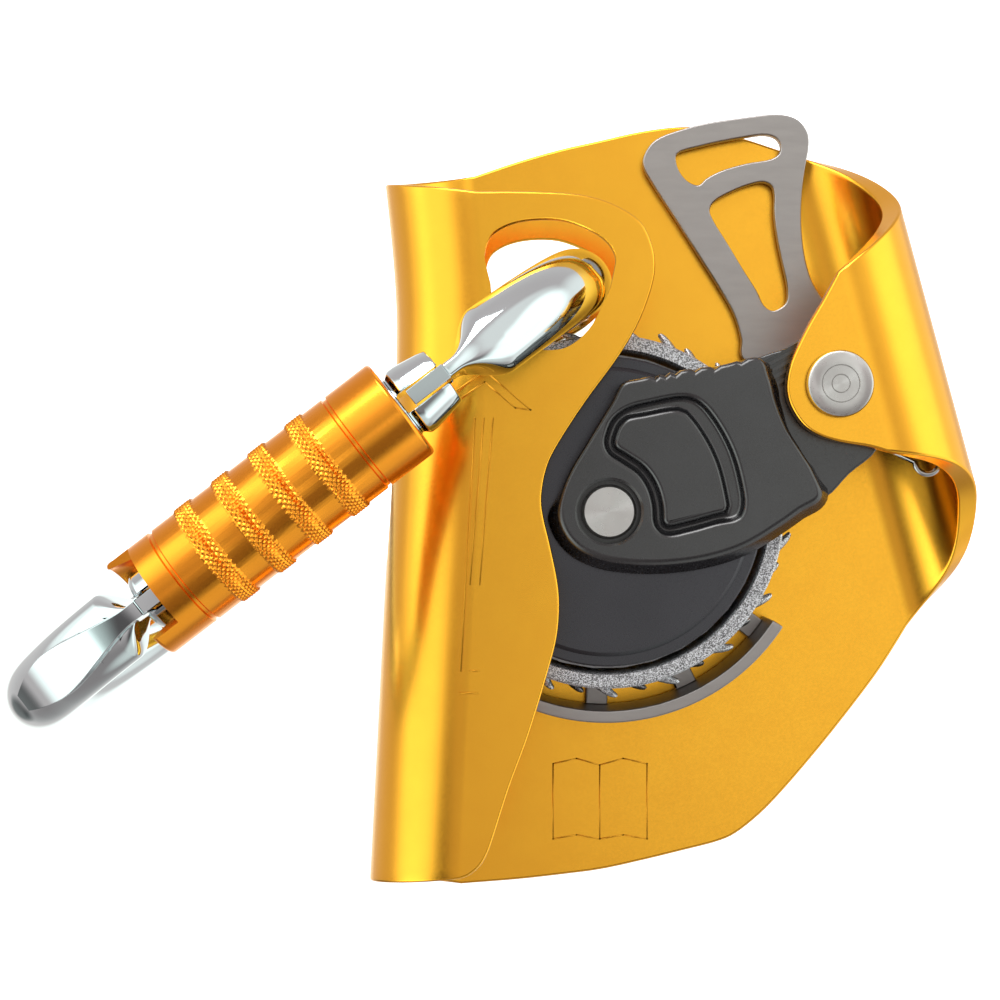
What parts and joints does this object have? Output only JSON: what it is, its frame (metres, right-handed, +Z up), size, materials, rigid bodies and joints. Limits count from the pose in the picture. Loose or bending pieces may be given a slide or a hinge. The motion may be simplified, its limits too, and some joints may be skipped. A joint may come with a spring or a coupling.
{
  "type": "mobile fall arrester",
  "caption": "Folded sheet fall arrester that runs on a rope, with a spiked locking wheel on a sprung arm, a release lever and an oval sleeve-lock connector.",
  "frame": {"origin": "on the rope's axis in the channel, level with the wheel's axis", "axes": "+Z up along the rope, +X from the rope towards the arm's pivot, +Y from the front flap to the back plate"},
  "size_m": [0.1445, 0.0627, 0.1183],
  "materials": {
    "gold_anodised": "satin gold anodised sheet",
    "orange_anodised": "gloss orange anodised, knurled bands",
    "polished_aluminium": "mirror polished",
    "stainless_sheet": "satin stamped stainless sheet",
    "turned_steel": "turned face with fine rings",
    "cast_steel": "coarse sandblasted casting",
    "inner_steel": "machined",
    "spring_steel": "drawn wire",
    "bearing_bronze": "sintered bronze",
    "black_casting": "satin black coated casting",
    "gloss_black": "gloss black"
  },
  "bodies": {
    "frame": {"frame_plate": "gold_anodised", "pivot_rivet": "turned_steel", "torsion_spring": "spring_steel"},
    "arm": {"arm_body": "black_casting", "pivot_bush": "bearing_bronze", "lever_plate": "stainless_sheet", "wheel_axle": "turned_steel", "housing_front": "gloss_black", "housing_rear": "gloss_black", "ratchet_drum": "inner_steel"},
    "wheel": {"wheel_ring": "cast_steel", "wheel_web": "inner_steel", "wheel_bearing": "bearing_bronze", "pawl_pin_1": "inner_steel", "pawl_pin_2": "inner_steel"},
    "pawl_a": {"pawl_1": "inner_steel"},
    "pawl_b": {"pawl_2": "inner_steel"},
    "connector": {"connector_body": "polished_aluminium", "gate_rivet": "turned_steel"},
    "gate": {"gate_barrel": "polished_aluminium", "gate_plunger": "inner_steel", "gate_spring": "spring_steel", "guide_pin": "inner_steel", "sleeve_collar": "bearing_bronze", "sleeve_spring": "spring_steel"},
    "sleeve": {"locking_sleeve": "orange_anodised"}
  },
  "joints": [
    {"name": "arm_pivot", "type": "hinge", "parent": "frame", "child": "arm", "pos_m": [0.0554, 0, 0.01831], "axis": [0, -1, 0], "range_deg": [0, 21], "stiffness_Nm_per_rad": 0.1, "springref_deg": -45.84, "deforming": ["torsion_spring"]},
    {"name": "wheel_spin", "type": "hinge", "parent": "arm", "child": "wheel", "pos_m": [0.0225, 0, 0], "axis": [0, -1, 0], "continuous": true},
    {"name": "pawl_1_swing", "type": "hinge", "parent": "wheel", "child": "pawl_a", "pos_m": [0.03546, 0, -0.0025], "axis": [0, 1, 0], "range_deg": [0, 10], "stiffness_Nm_per_rad": 0.002, "springref_deg": -17.19},
    {"name": "pawl_2_swing", "type": "hinge", "parent": "wheel", "child": "pawl_b", "pos_m": [0.00954, 0, 0.0025], "axis": [0, 1, 0], "range_deg": [0, 10], "stiffness_Nm_per_rad": 0.002, "springref_deg": -17.19},
    {"name": "connector_swing", "type": "hinge", "parent": "frame", "child": "connector", "pos_m": [0.01775, 0, 0.03275], "axis": [0, -1, 0], "range_deg": [-65, 4]},
    {"name": "gate_hinge", "type": "hinge", "parent": "connector", "child": "gate", "pos_m": [-0.03863, -0.0262, -0.01022], "axis": [-0.6101, 0, 0.7923], "range_deg": [0, 10], "stiffness_Nm_per_rad": 0.05, "springref_deg": -28.65},
    {"name": "sleeve_turn", "type": "hinge", "parent": "gate", "child": "sleeve", "pos_m": [-0.0212, -0.0262, 0.0032], "axis": [0.7923, 0, 0.6101], "range_deg": [0, 90], "stiffness_Nm_per_rad": 0.01, "springref_deg": -17.19}
  ],
  "couplings": [
    {"joint": "pawl_2_swing", "follows": "pawl_1_swing", "ratio": 1}
  ]
}
